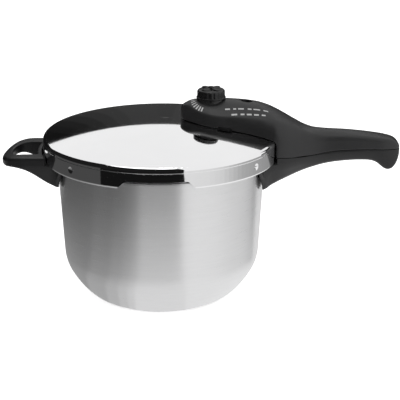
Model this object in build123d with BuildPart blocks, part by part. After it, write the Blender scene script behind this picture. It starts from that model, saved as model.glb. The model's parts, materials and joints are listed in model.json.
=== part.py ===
from build123d import *
import os
from math import cos, sin, radians, sqrt, pi

os.makedirs("parts", exist_ok=True)

# ---------------------------------------------------------------- driving sizes (mm)
# Frame: origin at the centre of the flat base, +Z up, +X along the long handle.
POT_R_TOP = 110.3        # outer radius of the pot wall near the rim
POT_R_LOW = 104.1        # outer radius where the wall meets the rounded foot
POT_Z_LOW = 42.0         # height at which the rounded foot begins
POT_FOOT_R = 70.5        # radius towards which the foot runs in
POT_FOOT_N = 1.34        # fullness of the rounded foot
POT_WALL = 1.0
POT_Z0 = 3.0             # underside of the pot sheet, on top of the bonded base
RIM_Z = 166.2            # top of the pot rim
RIM_R = 115.0            # outer radius of the flared rim

BASE_R = 71.0            # bonded base, steel cap
BASE_CAP_H = 2.0

LID_R = 124.3            # outer radius of the lid skirt
LID_T = 1.5
LID_APEX = 192.0
DOME_R = 446.0           # radius of the domed top
DOME_EDGE = 119.5        # radius where the dome ends
SKIRT_Z = 151.5          # underside of the turned-in lugs
LUG_IN_R = 116.6         # inner edge of the turned-in lugs
GAP_Z = 160.2            # lower edge of the skirt between lugs
GAP_AZ = -90.6           # azimuth of one gap centre, from +X
LUG_COUNT = 4

RING_LUG_R = 121.6       # bayonet ring on the pot
RING_COLLAR_R = 112.6
RING_GAP_R = 115.4
RING_Z = 153.6
RING_LUG_DEG = 28.0

HANDLE_GAP = 0.4         # parting gap between lid handle and pot handle
HEAD_LIFT = 0.6          # height of the cover's lower edge over the lid
FOOT_T = 2.25            # thickness of the foot inside the cover
WALL = 2.8               # plastic wall of the cover
LEDGE_R = 125.8          # pot handles stay under the lid inside this radius
LEDGE_Z = 150.6

KNOB_X = 53.0
SAFE_X = 73.0
PIN_X = 90.0


def dome(r, off=0.0):
    return LID_APEX + off - (DOME_R - sqrt(DOME_R ** 2 - r ** 2))


# half width of the long handle in plan: x, half width
PLAN = [(21.5, 0.0), (23.4, 5.5), (28.0, 11.0), (36.0, 17.4), (46.0, 23.6), (58.0, 27.0),
        (75.0, 28.0), (90.0, 28.6), (102.0, 29.8), (112.0, 32.0), (120.5, 33.6), (130.0, 31.6), (141.0, 26.6), (151.0, 21.6),
        (161.0, 17.9), (172.0, 15.7), (186.0, 14.9), (205.0, 14.5), (222.0, 13.9), (237.0, 12.7),
        (247.0, 9.6), (252.5, 5.0), (254.3, 0.0)]
# parting surface between lid handle and pot handle: radius, height
PART = [(124.6, 157.7), (133.0, 156.6), (143.0, 155.6), (154.0, 155.3), (165.0, 156.3), (177.0, 158.3),
        (189.0, 159.7), (202.0, 160.4), (220.0, 160.5), (237.0, 160.0), (262.0, 158.9)]
# crown of the lid handle: x, ridge height, curvature, half width of the section
CROWN = [(8.0, 194.4, 0.0270, 38.0), (22.0, 206.0, 0.0300, 38.0), (35.5, 212.1, 0.0300, 38.0),
         (53.0, 213.1, 0.0205, 38.0), (78.0, 212.2, 0.0183, 38.0), (100.0, 209.6, 0.0168, 38.0),
         (112.0, 205.8, 0.0127, 38.0), (122.0, 200.8, 0.0093, 37.0), (132.0, 195.0, 0.0088, 34.0),
         (142.0, 189.2, 0.0090, 29.5), (151.0, 184.6, 0.0115, 24.5), (162.0, 181.4, 0.0190, 20.5),
         (176.0, 180.2, 0.0250, 18.0), (194.0, 179.1, 0.0210, 17.4), (212.0, 177.1, 0.0150, 17.0),
         (230.0, 174.3, 0.0110, 16.5), (244.0, 171.9, 0.0100, 16.0), (260.0, 169.0, 0.0100, 16.0)]


def inner_plan(t, x_end):
    """points of the plan outline moved inwards by t, up to x_end"""
    pts = [(PLAN[0][0] + t, 0.0)]
    for a, p, b in zip(PLAN, PLAN[1:], PLAN[2:]):
        tx, ty = b[0] - a[0], b[1] - a[1]
        n = sqrt(tx * tx + ty * ty)
        q = (p[0] + t * ty / n, p[1] - t * tx / n)
        if q[1] > 3.0 and q[0] > pts[-1][0] + 0.8 and q[0] < x_end - 2:
            pts.append(q)
    pts.append((x_end, 12.7 - t - 0.4))
    return pts


def dome_points(r0, r1, off, n=7):
    return [(r0 + (r1 - r0) * i / (n - 1), dome(r0 + (r1 - r0) * i / (n - 1), off)) for i in range(n)]


def save(piece, name):
    piece.part.label = name
    export_step(piece.part, "parts/" + name + ".step")


# ================================================================= pot
def foot_r(z):
    u = (POT_Z_LOW - z) / POT_Z_LOW
    return POT_FOOT_R + (POT_R_LOW - POT_FOOT_R) * (1 - u ** POT_FOOT_N) ** (1 / POT_FOOT_N)


foot = [(foot_r(z), z) for z in (POT_Z0, 5.5, 9.0, 13.5, 19.0, 25.0, 31.0, 36.5, POT_Z_LOW)]
foot_in = [(foot_r(z) - POT_WALL - 0.35 * (1 - (z - 4) / 38), z + 0.55 * (1 - (z - 4) / 38))
           for z in (5.5, 9.0, 13.5, 19.0, 25.0, 31.0, 36.5, POT_Z_LOW)]

with BuildPart() as pot_body:
    with BuildSketch(Plane.XZ) as s:
        with BuildLine() as l:
            Line((0, POT_Z0), (foot[0][0], POT_Z0))
            Spline(*foot)
            Line((POT_R_LOW, POT_Z_LOW), (POT_R_TOP, 150))
            Line((POT_R_TOP, 150), (110.9, 160.6))
            ThreePointArc((110.9, 160.6), (112.2, 163.9), (RIM_R - 0.4, 165.2))
            ThreePointArc((RIM_R - 0.4, 165.2), (RIM_R + 0.1, 165.7), (RIM_R - 0.4, RIM_Z))
            ThreePointArc((RIM_R - 0.4, RIM_Z), (111.4, 164.6), (109.9, 160.8))
            Line((109.9, 160.8), (POT_R_TOP - POT_WALL, 150))
            Line((POT_R_TOP - POT_WALL, 150), foot_in[-1])
            Spline(*reversed(foot_in))
            Line(foot_in[0], (foot_in[0][0] - 4, POT_Z0 + POT_WALL))
            Line((foot_in[0][0] - 4, POT_Z0 + POT_WALL), (0, POT_Z0 + POT_WALL))
            Line((0, POT_Z0 + POT_WALL), (0, POT_Z0))
        make_face()
    revolve(axis=Axis.Z)
save(pot_body, "pot_body")

with BuildPart() as base_core:
    with BuildSketch(Plane.XY.offset(0.7)):
        Circle(BASE_R - 1.6)
    extrude(amount=POT_Z0 - 0.7)
save(base_core, "base_core")

with BuildPart() as base_cap:
    with BuildSketch(Plane.XZ):
        with BuildLine():
            Polyline((0, 0), (BASE_R, 0), (BASE_R, BASE_CAP_H), (BASE_R - 1.2, BASE_CAP_H),
                     (BASE_R - 1.2, 0.7), (0, 0.7), (0, 0))
        make_face()
    revolve(axis=Axis.Z)
    fillet(base_cap.edges().filter_by(GeomType.CIRCLE).group_by(Axis.Z)[0].sort_by(SortBy.RADIUS)[-1], 0.9)
save(base_cap, "base_cap")

# bayonet ring: a collar welded round the pot with four outward lugs
with BuildPart() as bayonet_ring:
    with BuildSketch(Plane.XZ):
        with BuildLine():
            Polyline((111.05, RING_Z), (RING_GAP_R, RING_Z), (RING_GAP_R, RING_Z + 1.8),
                     (RING_COLLAR_R, RING_Z + 1.8), (RING_COLLAR_R, 159.6), (111.05, 159.6), (111.05, RING_Z))
        make_face()
    revolve(axis=Axis.Z)
    with BuildSketch(Plane.XY.offset(RING_Z)):
        for i in range(LUG_COUNT):
            a = radians(GAP_AZ + 45 + i * 360 / LUG_COUNT)
            h = radians(RING_LUG_DEG / 2)
            with BuildLine():
                l1 = Line((112 * cos(a - h), 112 * sin(a - h)), (RING_LUG_R * cos(a - h), RING_LUG_R * sin(a - h)))
                l2 = ThreePointArc(l1 @ 1, (RING_LUG_R * cos(a), RING_LUG_R * sin(a)),
                                   (RING_LUG_R * cos(a + h), RING_LUG_R * sin(a + h)))
                l3 = Line(l2 @ 1, (112 * cos(a + h), 112 * sin(a + h)))
                l4 = ThreePointArc(l3 @ 1, (112 * cos(a), 112 * sin(a)), l1 @ 0)
            make_face()
    extrude(amount=1.8)
save(bayonet_ring, "bayonet_ring")

# ================================================================= lid
# openings between the lugs, sloped at each end
with BuildPart() as gap_cut:
    for i in range(LUG_COUNT):
        az = GAP_AZ + i * 360 / LUG_COUNT
        pl = Plane(origin=(0, 0, 0), x_dir=(-sin(radians(az)), cos(radians(az)), 0),
                   z_dir=(cos(radians(az)), sin(radians(az)), 0))
        with BuildSketch(pl.offset(100)):
            with BuildLine():
                Polyline((-43.0, 144), (-39.6, 152.2), (-31.2, GAP_Z), (31.2, GAP_Z), (39.6, 152.2), (43.0, 144), close=True)
            make_face()
            fillet(vertices().group_by(Axis.Z)[-1], 4.0)
        extrude(amount=34)

with BuildPart() as lid_shell:
    with BuildSketch(Plane.XZ):
        with BuildLine():
            ze = dome(DOME_EDGE)
            slope = DOME_EDGE / sqrt(DOME_R ** 2 - DOME_EDGE ** 2)
            zs = ze - slope * (LID_R - DOME_EDGE)
            Spline(*dome_points(0, DOME_EDGE, 0.0), tangents=((1, 0), (1, -slope)))
            FilletPolyline((DOME_EDGE, ze), (LID_R, zs), (LID_R, SKIRT_Z), (LUG_IN_R, SKIRT_Z),
                                   radius=(4.2, 2.4))
            Line((LUG_IN_R, SKIRT_Z), (LUG_IN_R, SKIRT_Z + LID_T))
            ri = LID_R - LID_T
            zi = ze - LID_T - slope * (ri - DOME_EDGE)
            FilletPolyline((LUG_IN_R, SKIRT_Z + LID_T), (ri, SKIRT_Z + LID_T), (ri, zi),
                                   (DOME_EDGE - 0.4, ze - LID_T + slope * 0.4), radius=(0.9, 2.7))
            Spline((DOME_EDGE - 0.4, ze - LID_T + slope * 0.4), *reversed(dome_points(0, 100.0, -LID_T)),
                   tangents=((-1, slope), (-1, 0)))
            Line((0, LID_APEX - LID_T), (0, LID_APEX))
        make_face()
    revolve(axis=Axis.Z)
    add(gap_cut.part, mode=Mode.SUBTRACT)
    # holes for the valves and the indicator
    with Locations((KNOB_X, 0, 170)):
        Cylinder(6.4, 40, mode=Mode.SUBTRACT)
    with Locations((SAFE_X, 0, 170)):
        Cylinder(4.8, 40, mode=Mode.SUBTRACT)
    with Locations((PIN_X, 0, 170)):
        Cylinder(3.7, 40, mode=Mode.SUBTRACT)
    # pressed dimples that hold the gasket
    for az in (-135.6, -37.6, 135.6, 37.6):
        with Locations((129.5 * cos(radians(az)), 129.5 * sin(radians(az)), 161.4)):
            Sphere(6.3, mode=Mode.SUBTRACT)
    # fine groove under the edge of the top
    with BuildSketch(Plane.XZ):
        with Locations((LID_R + 0.12, 168.9)):
            Circle(0.45)
    revolve(axis=Axis.Z, mode=Mode.SUBTRACT)
save(lid_shell, "lid_shell")

with BuildPart() as lid_gasket:
    with BuildSketch(Plane.XZ):
        with BuildLine():
            Polyline((122.3, 166.8), (122.3, 171.4), (121.0, 172.7), (111.5, 172.7), (109.2, 171.2), (109.2, 170.0),
                     (111.6, 171.2), (119.6, 171.2), (119.6, 168.4), (112.2, 168.4), (110.4, 167.5), (110.4, 166.7),
                     (112.4, 166.8), close=True)
        make_face()
    revolve(axis=Axis.Z)
save(lid_gasket, "lid_gasket")

# ================================================================= long handle, shared envelopes
with BuildPart() as plan_block:
    with BuildSketch(Plane.XY.offset(100)):
        with BuildLine():
            Spline(*PLAN, *[(x, -y) for x, y in reversed(PLAN[1:-1])], periodic=True)
        make_face()
    extrude(amount=130)

with BuildPart() as crown_block:
    for x, zc, k, w in CROWN:
        with BuildSketch(Plane.YZ.offset(x)):
            with BuildLine():
                c = ThreePointArc((-w, zc - k * w * w), (0, zc), (w, zc - k * w * w))
                Polyline((w, zc - k * w * w), (w, 120), (-w, 120), (-w, zc - k * w * w))
            make_face()
    loft()

side_pts = [(238.0, 173.4), (245.0, 171.0), (250.2, 166.6), (253.4, 160.2), (253.4, 153.5), (251.2, 146.5),
            (247.6, 141.0), (243.6, 138.1), (239.8, 137.4), (236.0, 138.9), (232.2, 142.0), (228.0, 145.4),
            (221.5, 147.7), (210.0, 148.3), (195.0, 147.5), (177.0, 145.2), (160.0, 141.0), (146.0, 136.7),
            (133.0, 132.0), (116.0, 125.3), (106.0, 120.2), (98.0, 116.0)]
with BuildPart() as side_block:
    with BuildSketch(Plane.XZ.offset(-60)):
        with BuildLine():
            t = Spline(*side_pts)
            Polyline((98.0, 116.0), (0, 116.0), (0, 240), (238.0, 240), (238.0, 173.4))
        make_face()
    extrude(amount=120)

with BuildPart() as handle_env:
    add(plan_block.part)
    add(crown_block.part, mode=Mode.INTERSECT)
    add(side_block.part, mode=Mode.INTERSECT)


# everything under this surface belongs to the lid or to the pot handle
with BuildPart() as under_cover:
    with BuildSketch(Plane.XZ):
        with BuildLine():
            Line((0, 100), (0, dome(0, HEAD_LIFT)))
            ThreePointArc((0, dome(0, HEAD_LIFT)), (70, dome(70, HEAD_LIFT)), (121.0, dome(121.0, HEAD_LIFT)))
            ThreePointArc((121.0, dome(121.0, HEAD_LIFT)), (124.1, 173.6), (125.2, 170.4))
            Line((125.2, 170.4), (125.2, PART[0][1] - 0.1 + HANDLE_GAP))
            Spline((125.2, PART[0][1] - 0.1 + HANDLE_GAP), *[(r, z + HANDLE_GAP) for r, z in PART[1:]])
            Polyline((262.0, PART[-1][1] + HANDLE_GAP), (262, 100), (0, 100))
        make_face()
    revolve(axis=Axis.Z)

with BuildPart() as under_part:
    with BuildSketch(Plane.XZ):
        with BuildLine():
            Polyline((0, 100), (0, LEDGE_Z), (LEDGE_R, LEDGE_Z), (LEDGE_R, 157.5))
            Spline((LEDGE_R, 157.5), *PART[1:])
            Polyline((262.0, PART[-1][1]), (262, 100), (0, 100))
        make_face()
    revolve(axis=Axis.Z)

# hollow of the cover
with BuildPart() as hollow_plan:
    with BuildSketch(Plane.XY.offset(100)):
        with BuildLine():
            pts = inner_plan(WALL, 241.0)
            Spline(*pts)
            Line(pts[-1], (pts[-1][0], 0))
            mirror(about=Plane.XZ)
        make_face()
    extrude(amount=130)

with BuildPart() as hollow_crown:
    for x, zc, k, w in CROWN:
        z0 = zc - 3.0
        with BuildSketch(Plane.YZ.offset(x)):
            with BuildLine():
                ThreePointArc((-w, z0 - k * w * w), (0, z0), (w, z0 - k * w * w))
                Polyline((w, z0 - k * w * w), (w, 110), (-w, 110), (-w, z0 - k * w * w))
            make_face()
    loft()

with BuildPart() as hollow:
    add(hollow_plan.part)
    add(hollow_crown.part, mode=Mode.INTERSECT)

BOSS_X = (200.0, 230.0)          # cover bosses in the grip
STRAP_X = (141.0, 157.0)         # cover bosses over the lid bracket
STRAP_Z = 173.2                  # top of the bracket strap

with BuildPart() as boss_block:
    for x in BOSS_X:
        with BuildSketch(Plane.XY.offset(165.0)):
            with Locations((x, 0)):
                Circle(3.6)
        extrude(amount=25)
    for x in STRAP_X:
        with BuildSketch(Plane.XY.offset(STRAP_Z)):
            with Locations((x, 0)):
                Circle(4.2)
        extrude(amount=30)
    add(hollow_crown.part, mode=Mode.INTERSECT)

with BuildPart() as lid_handle_cover:
    add(handle_env.part)
    add(under_cover.part, mode=Mode.SUBTRACT)
    add(hollow.part, mode=Mode.SUBTRACT)
    add(boss_block.part)
    # knob seat and opening
    with BuildSketch(Plane.XY.offset(206.0)):
        with Locations((KNOB_X, 0)):
            Circle(13.0)
    extrude(amount=213.4 - 206.0)
    with BuildSketch(Plane.XY.offset(150.0)):
        with Locations((KNOB_X, 0)):
            Circle(9.0)
        with Locations((PIN_X, 0)):
            Ellipse(6.6, 5.6)
    extrude(amount=80, mode=Mode.SUBTRACT)
    # pilot holes of the bosses
    with BuildSketch(Plane.XY.offset(150.0)):
        with Locations(*[(x, 0) for x in BOSS_X]):
            Circle(1.35)
    extrude(amount=173.0 - 150.0, mode=Mode.SUBTRACT)
    with BuildSketch(Plane.XY.offset(150.0)):
        with Locations(*[(x, 0) for x in STRAP_X]):
            Circle(1.75)
    extrude(amount=179.0 - 150.0, mode=Mode.SUBTRACT)
    # steam outlet at the lower edge, on the -Y side
    with BuildSketch(Plane.XZ.offset(20)):
        with BuildLine():
            Polyline((59.5, 180), (59.5, 189.2), (61.5, 190.4), (72.5, 189.0), (74.5, 187.0), (74.5, 180), close=True)
        make_face()
    extrude(amount=20, mode=Mode.SUBTRACT)
save(lid_handle_cover, "lid_handle_cover")

# base of the lid handle: a thin foot on the lid, a wall behind the rim, a plate closing the grip
with BuildPart() as foot_sector:
    with BuildSketch(Plane.XZ):
        with BuildLine():
            Line((0, dome(0, 0.05)), (0, dome(0, FOOT_T)))
            ThreePointArc((0, dome(0, FOOT_T)), (70, dome(70, FOOT_T)), (124.0, dome(124.0, FOOT_T)))
            Line((124.0, dome(124.0, FOOT_T)), (124.0, dome(124.0, 0.6)))
            Line((124.0, dome(124.0, 0.6)), (119.0, dome(119.0, 0.05)))
            ThreePointArc((119.0, dome(119.0, 0.05)), (62, dome(62, 0.05)), (0, dome(0, 0.05)))
        make_face()
    revolve(axis=Axis.Z)

with BuildPart() as plate_sector:
    with BuildSketch(Plane.XZ):
        with BuildLine():
            Polyline((124.6, PART[0][1] + HANDLE_GAP), (124.6, 176.3), (122.0, 176.9), (122.0, 179.4), (127.3, 179.4), (127.3, 161.0))
            Spline((127.3, 161.0), *[(r, z + HANDLE_GAP + 2.6) for r, z in PART[1:-1]])
            Polyline((237.0, PART[-2][1] + HANDLE_GAP + 2.6), (237.0, PART[-2][1] + HANDLE_GAP))
            Spline(*[(r, z + HANDLE_GAP) for r, z in reversed(PART[:-1])])
        make_face()
    revolve(axis=Axis.Z)

with BuildPart() as inset_plan:
    with BuildSketch(Plane.XY.offset(100)):
        with BuildLine():
            pts = inner_plan(WALL + 0.25, 240.5)
            Spline(*pts)
            Line(pts[-1], (pts[-1][0], 0))
            mirror(about=Plane.XZ)
        make_face()
    extrude(amount=130)

with BuildPart() as lid_handle_base:
    add(plate_sector.part)
    add(foot_sector.part)
    add(inset_plan.part, mode=Mode.INTERSECT)
    # room for the bracket strap, the valves and the screws
    with Locations((112.0, 0, 182)):
        Box(40, 25, 40, mode=Mode.SUBTRACT)
    with Locations((KNOB_X, 0, 190)):
        Cylinder(12.2, 30, mode=Mode.SUBTRACT)
    with Locations((SAFE_X, 0, 190)):
        Cylinder(7.6, 30, mode=Mode.SUBTRACT)
    with Locations((PIN_X, 0, 190)):
        Cylinder(6.8, 30, mode=Mode.SUBTRACT)
    with Locations(*[(x, 0, 156.0) for x in BOSS_X]):
        Cylinder(1.8, 12, align=(Align.CENTER, Align.CENTER, Align.MIN), mode=Mode.SUBTRACT)
        Cylinder(3.5, 6.6, align=(Align.CENTER, Align.CENTER, Align.MIN), mode=Mode.SUBTRACT)
    with Locations(*[(x, 0, 160) for x in STRAP_X]):
        Cylinder(4.0, 12, mode=Mode.SUBTRACT)
save(lid_handle_base, "lid_handle_base")

# steel strap spot-welded on the lid that carries the handle
with BuildPart() as lid_bracket:
    with BuildSketch(Plane.XZ):
        with BuildLine():
            ThreePointArc((98.0, dome(98.0, 0.05)), (107.0, dome(107.0, 0.05)), (116.0, dome(116.0, 0.05)))
            Polyline((116.0, dome(116.0, 0.05)), (120.0, 176.0), (125.9, 175.4), (128.8, STRAP_Z - 1.6), (165.0, STRAP_Z - 1.6),
                     (165.0, STRAP_Z), (129.6, STRAP_Z), (126.8, 176.9), (120.4, 177.6), (116.0, dome(116.0, 1.65)))
            ThreePointArc((116.0, dome(116.0, 1.65)), (107.0, dome(107.0, 1.65)), (98.0, dome(98.0, 1.65)))
            Line((98.0, dome(98.0, 1.65)), (98.0, dome(98.0, 0.05)))
        make_face()
    revolve(axis=Axis.Z, revolution_arc=360)
    with BuildSketch(Plane.XY.offset(150)):
        with BuildLine():
            Polyline((90, -12), (123, -12), (131, -8), (166, -8), (166, 8), (131, 8), (123, 12), (90, 12), close=True)
        make_face()
    extrude(amount=50, mode=Mode.INTERSECT)
    with Locations(*[(x, 0, STRAP_Z) for x in STRAP_X]):
        Cylinder(2.2, 8, mode=Mode.SUBTRACT)
save(lid_bracket, "lid_bracket")

with BuildPart() as strap_screws:
    with Locations(*[(x, 0, STRAP_Z - 1.7) for x in STRAP_X]):
        Cylinder(1.65, 6.6, align=(Align.CENTER, Align.CENTER, Align.MIN))
        Cylinder(3.4, 2.0, align=(Align.CENTER, Align.CENTER, Align.MAX))
    fillet(strap_screws.edges().filter_by(GeomType.CIRCLE).group_by(Axis.Z)[0], 0.6)
    with Locations(*[(x, 0, STRAP_Z - 3.7) for x in STRAP_X]):
        Box(5.0, 0.8, 1.6, mode=Mode.SUBTRACT)
        Box(0.8, 5.0, 1.6, mode=Mode.SUBTRACT)
save(strap_screws, "strap_screws")

with BuildPart() as cover_screws:
    with Locations(*[(x, 0, 161.1) for x in BOSS_X]):
        Cylinder(3.0, 1.4, align=(Align.CENTER, Align.CENTER, Align.MIN))
        Cylinder(1.3, 11.2, align=(Align.CENTER, Align.CENTER, Align.MIN))
    with Locations(*[(x, 0, 161.1) for x in BOSS_X]):
        Box(4.2, 0.7, 1.3, mode=Mode.SUBTRACT)
        Box(0.7, 4.2, 1.3, mode=Mode.SUBTRACT)
save(cover_screws, "cover_screws")

# ================================================================= handle of the pot
LOW = [(98.0, 37.0, 28.0, 116.0, 148.0), (108.0, 37.0, 27.5, 117.5, 148.0), (119.0, 34.3, 24.5, 121.5, 148.0),
       (130.0, 31.6, 20.5, 126.0, 148.0), (141.0, 26.6, 16.0, 130.0, 149.0), (151.0, 21.6, 12.5, 133.0, 150.0),
       (161.0, 17.9, 10.8, 136.0, 151.0), (172.0, 15.7, 10.0, 139.0, 152.5), (186.0, 14.9, 9.6, 141.0, 154.0),
       (205.0, 14.5, 9.4, 142.0, 155.0), (222.0, 13.9, 9.2, 141.0, 155.0), (235.0, 13.1, 9.4, 134.0, 153.0),
       (256.0, 12.2, 9.4, 131.0, 152.0)]
with BuildPart() as low_loft:
    for x, wt, wb, zb, zm in LOW:
        with BuildSketch(Plane.YZ.offset(x)):
            with BuildLine():
                Polyline((-wt, 175), (-wt, zm), (-wb, zb), (wb, zb), (wt, zm), (wt, 175), close=True)
            make_face()
            fillet(vertices().group_by(Axis.Y)[0], 4.5)
    loft()

# plan of the pot handle, wider than the cover where it meets the pot
with BuildPart() as low_plan:
    with BuildSketch(Plane.XY.offset(100)):
        with BuildLine():
            tail = [(120.5, 34.2)] + PLAN[PLAN.index((130.0, 31.6)):]
            Spline(*tail, *[(x, -y) for x, y in reversed(tail[:-1])])
            Polyline((120.5, -34.2), (98.0, -38.0), (98.0, 38.0), (120.5, 34.2))
        make_face()
    extrude(amount=80)

# a lip that lies along the pot wall at the root of each handle
def lip(sign, outline):
    with BuildPart() as piece:
        with BuildSketch(Plane.YZ.offset(sign * 60)):
            with BuildLine():
                Polyline(*outline, close=True)
            make_face()
            fillet(vertices().group_by(Axis.Y)[0], 6.0)
        extrude(amount=sign * 66)
        with BuildSketch(Plane.XY.offset(100)):
            Circle(115.2)
        extrude(amount=80, mode=Mode.INTERSECT)
    return piece.part


LIP = [(-41.0, LEDGE_Z), (-46.2, 146.0), (-37.0, 133.8), (-24.5, 118.5), (24.5, 118.5), (37.0, 133.8), (46.2, 146.0), (41.0, LEDGE_Z)]
lip_long = lip(1, LIP)
lip_short = lip(-1, LIP)

pot_void = Pos(0, 0, 130) * Cylinder(111.15, 100)          # pot wall and a hair of clearance
wall_void = Pos(0, 0, 130) * Cylinder(110.95, 100)
ledge_void = Pos(0, 0, LEDGE_Z + 25) * Cylinder(LEDGE_R, 50)   # room for the lid to turn

with BuildPart() as pot_handle:
    add(low_loft.part)
    add(low_plan.part, mode=Mode.INTERSECT)
    add(lip_long)
    add(side_block.part, mode=Mode.INTERSECT)
    add(under_part.part, mode=Mode.INTERSECT)
    add(pot_void, mode=Mode.SUBTRACT)
    # pocket for the welded bracket, with its screw from below
    with Locations((111.0, 0, 141.4)):
        Box(52.0, 20.8, 12.0, mode=Mode.SUBTRACT)
    with Locations((124.0, 0, 110)):
        Cylinder(4.3, 23.0, align=(Align.CENTER, Align.CENTER, Align.MIN), mode=Mode.SUBTRACT)
        Cylinder(2.7, 30.0, align=(Align.CENTER, Align.CENTER, Align.MIN), mode=Mode.SUBTRACT)
save(pot_handle, "pot_handle")

with BuildPart() as pot_bracket:
    with BuildSketch(Plane.XZ):
        with BuildLine():
            Polyline((110.0, 136.6), (113.6, 136.6), (113.6, 143.6), (135.5, 143.6), (135.5, 146.4), (110.0, 146.4), close=True)
        make_face()
    extrude(amount=9.6, both=True)
    add(wall_void, mode=Mode.SUBTRACT)
    with Locations((124.0, 0, 145)):
        Cylinder(2.45, 10, mode=Mode.SUBTRACT)
save(pot_bracket, "pot_bracket")

def handle_screw(x):
    with BuildPart() as piece:
        with Locations((x, 0, 129.8)):
            Cylinder(3.8, 3.1, align=(Align.CENTER, Align.CENTER, Align.MIN))
            Cylinder(2.4, 16.6, align=(Align.CENTER, Align.CENTER, Align.MIN))
        fillet(piece.edges().filter_by(GeomType.CIRCLE).group_by(Axis.Z)[0], 0.9)
        with Locations((x, 0, 129.8)):
            Box(5.6, 0.9, 2.4, mode=Mode.SUBTRACT)
            Box(0.9, 5.6, 2.4, mode=Mode.SUBTRACT)
    return piece


pot_handle_screw = handle_screw(124.0)
save(pot_handle_screw, "pot_handle_screw")

# ================================================================= helper handle
HELP_PLAN = [(-132.0, 39.0), (-137.0, 39.0), (-146.0, 38.0), (-155.5, 33.0), (-162.5, 23.5), (-166.8, 12.0), (-168.4, 0.0)]
HOLE_PLAN = [(-136.0, 22.6), (-140.0, 22.6), (-148.5, 19.8), (-153.3, 11.6), (-154.6, 0.0)]
HELP_LOW = [(-96, 120.0), (-104, 123.0), (-110.5, 125.4), (-116, 127.6), (-121, 130.8), (-126, 134.6), (-131, 138.6),
            (-136, 142.0), (-141, 144.8), (-146, 146.6), (-152, 147.2), (-157, 146.6), (-162, 145.0), (-168, 143.5), (-173, 143.0)]
HELP_TOP = [(-173, 149.0), (-168, 151.4), (-165, 153.0), (-160, 155.2), (-155, 156.9), (-150, 158.0), (-144, 158.8), (-138, 159.1)]
with BuildPart() as help_side:
    with BuildSketch(Plane.XZ.offset(-60)):
        with BuildLine():
            Spline(*HELP_LOW)
            Line(HELP_LOW[-1], HELP_TOP[0])
            Spline(*HELP_TOP, tangents=((1, 0.6), (1, 0)))
            Polyline(HELP_TOP[-1], (-96, 159.1), HELP_LOW[0])
        make_face()
    extrude(amount=120)
with BuildPart() as helper_handle:
    with BuildSketch(Plane.XY.offset(100)):
        with BuildLine():
            Spline(*HELP_PLAN, *[(x, -y) for x, y in reversed(HELP_PLAN[:-1])])
            Polyline((-132.0, -39.0), (-96, -39.0), (-96, 39.0), (-132.0, 39.0))
        make_face()
    extrude(amount=59)
    add(help_side.part, mode=Mode.INTERSECT)
    with BuildSketch(Plane.YZ.offset(-180)):
        with BuildLine():
            Polyline((-39.5, 165), (-39.5, 150), (-27.0, 117), (27.0, 117), (39.5, 150), (39.5, 165), close=True)
        make_face()
    extrude(amount=90, mode=Mode.INTERSECT)
    # finger opening
    with BuildSketch(Plane.XY.offset(110)):
        with BuildLine():
            Spline(*HOLE_PLAN, *[(x, -y) for x, y in reversed(HOLE_PLAN[:-1])])
            Line((-136.0, -22.6), (-128.6, -22.6))
            ThreePointArc((-128.6, -22.6), (-130.6, 0), (-128.6, 22.6))
            Line((-128.6, 22.6), (-136.0, 22.6))
        make_face()
        fillet(vertices().group_by(Axis.X)[-1], 4.0)
    extrude(amount=60, mode=Mode.SUBTRACT)
    add(lip_short)
    add(help_side.part, mode=Mode.INTERSECT)
    add(ledge_void, mode=Mode.SUBTRACT)
    add(pot_void, mode=Mode.SUBTRACT)
    with Locations((-106.5, 0, 141.4)):
        Box(44.0, 20.8, 12.0, mode=Mode.SUBTRACT)
    with Locations((-120.0, 0, 110)):
        Cylinder(4.3, 23.0, align=(Align.CENTER, Align.CENTER, Align.MIN), mode=Mode.SUBTRACT)
        Cylinder(2.7, 30.0, align=(Align.CENTER, Align.CENTER, Align.MIN), mode=Mode.SUBTRACT)
save(helper_handle, "helper_handle")

with BuildPart() as helper_bracket:
    with BuildSketch(Plane.XZ):
        with BuildLine():
            Polyline((-110.0, 136.6), (-113.6, 136.6), (-113.6, 143.6), (-127.5, 143.6), (-127.5, 146.4), (-110.0, 146.4), close=True)
        make_face()
    extrude(amount=9.6, both=True)
    add(wall_void, mode=Mode.SUBTRACT)
    with Locations((-120.0, 0, 145)):
        Cylinder(2.45, 10, mode=Mode.SUBTRACT)
save(helper_bracket, "helper_bracket")

helper_handle_screw = handle_screw(-120.0)
save(helper_handle_screw, "helper_handle_screw")

# ================================================================= pressure valve and knob
Z = (Align.CENTER, Align.CENTER, Align.MIN)
with BuildPart() as dome_cut:
    with BuildSketch(Plane.XZ):
        with BuildLine():
            Line((0, 230), (0, dome(0, -LID_T - 0.05)))
            ThreePointArc((0, dome(0, -LID_T - 0.05)), (62, dome(62, -LID_T - 0.05)), (118, dome(118, -LID_T - 0.05)))
            Polyline((118, dome(118, -LID_T - 0.05)), (118, 230), (0, 230))
        make_face()
    revolve(axis=Axis.Z)

with BuildPart() as valve_body:
    with Locations((KNOB_X, 0, 180.0)):
        Cylinder(9.5, 4.0, align=Z)
        Cylinder(6.0, 23.0, align=Z)
        Cylinder(2.0, 12.0, align=Z, mode=Mode.SUBTRACT)
    with Locations((KNOB_X, 0, 187.0)):
        Cylinder(4.3, 20.0, align=Z, mode=Mode.SUBTRACT)
    fillet(valve_body.edges().filter_by(GeomType.CIRCLE).group_by(Axis.Z)[0].sort_by(SortBy.RADIUS)[-1], 0.8)
save(valve_body, "valve_body")

with BuildPart() as valve_washer:
    with Locations((KNOB_X, 0, 184.05)):
        Cylinder(9.0, 8.0, align=Z)
        Cylinder(6.1, 8.0, align=Z, mode=Mode.SUBTRACT)
    add(dome_cut.part, mode=Mode.SUBTRACT)
save(valve_washer, "valve_washer")

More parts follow.
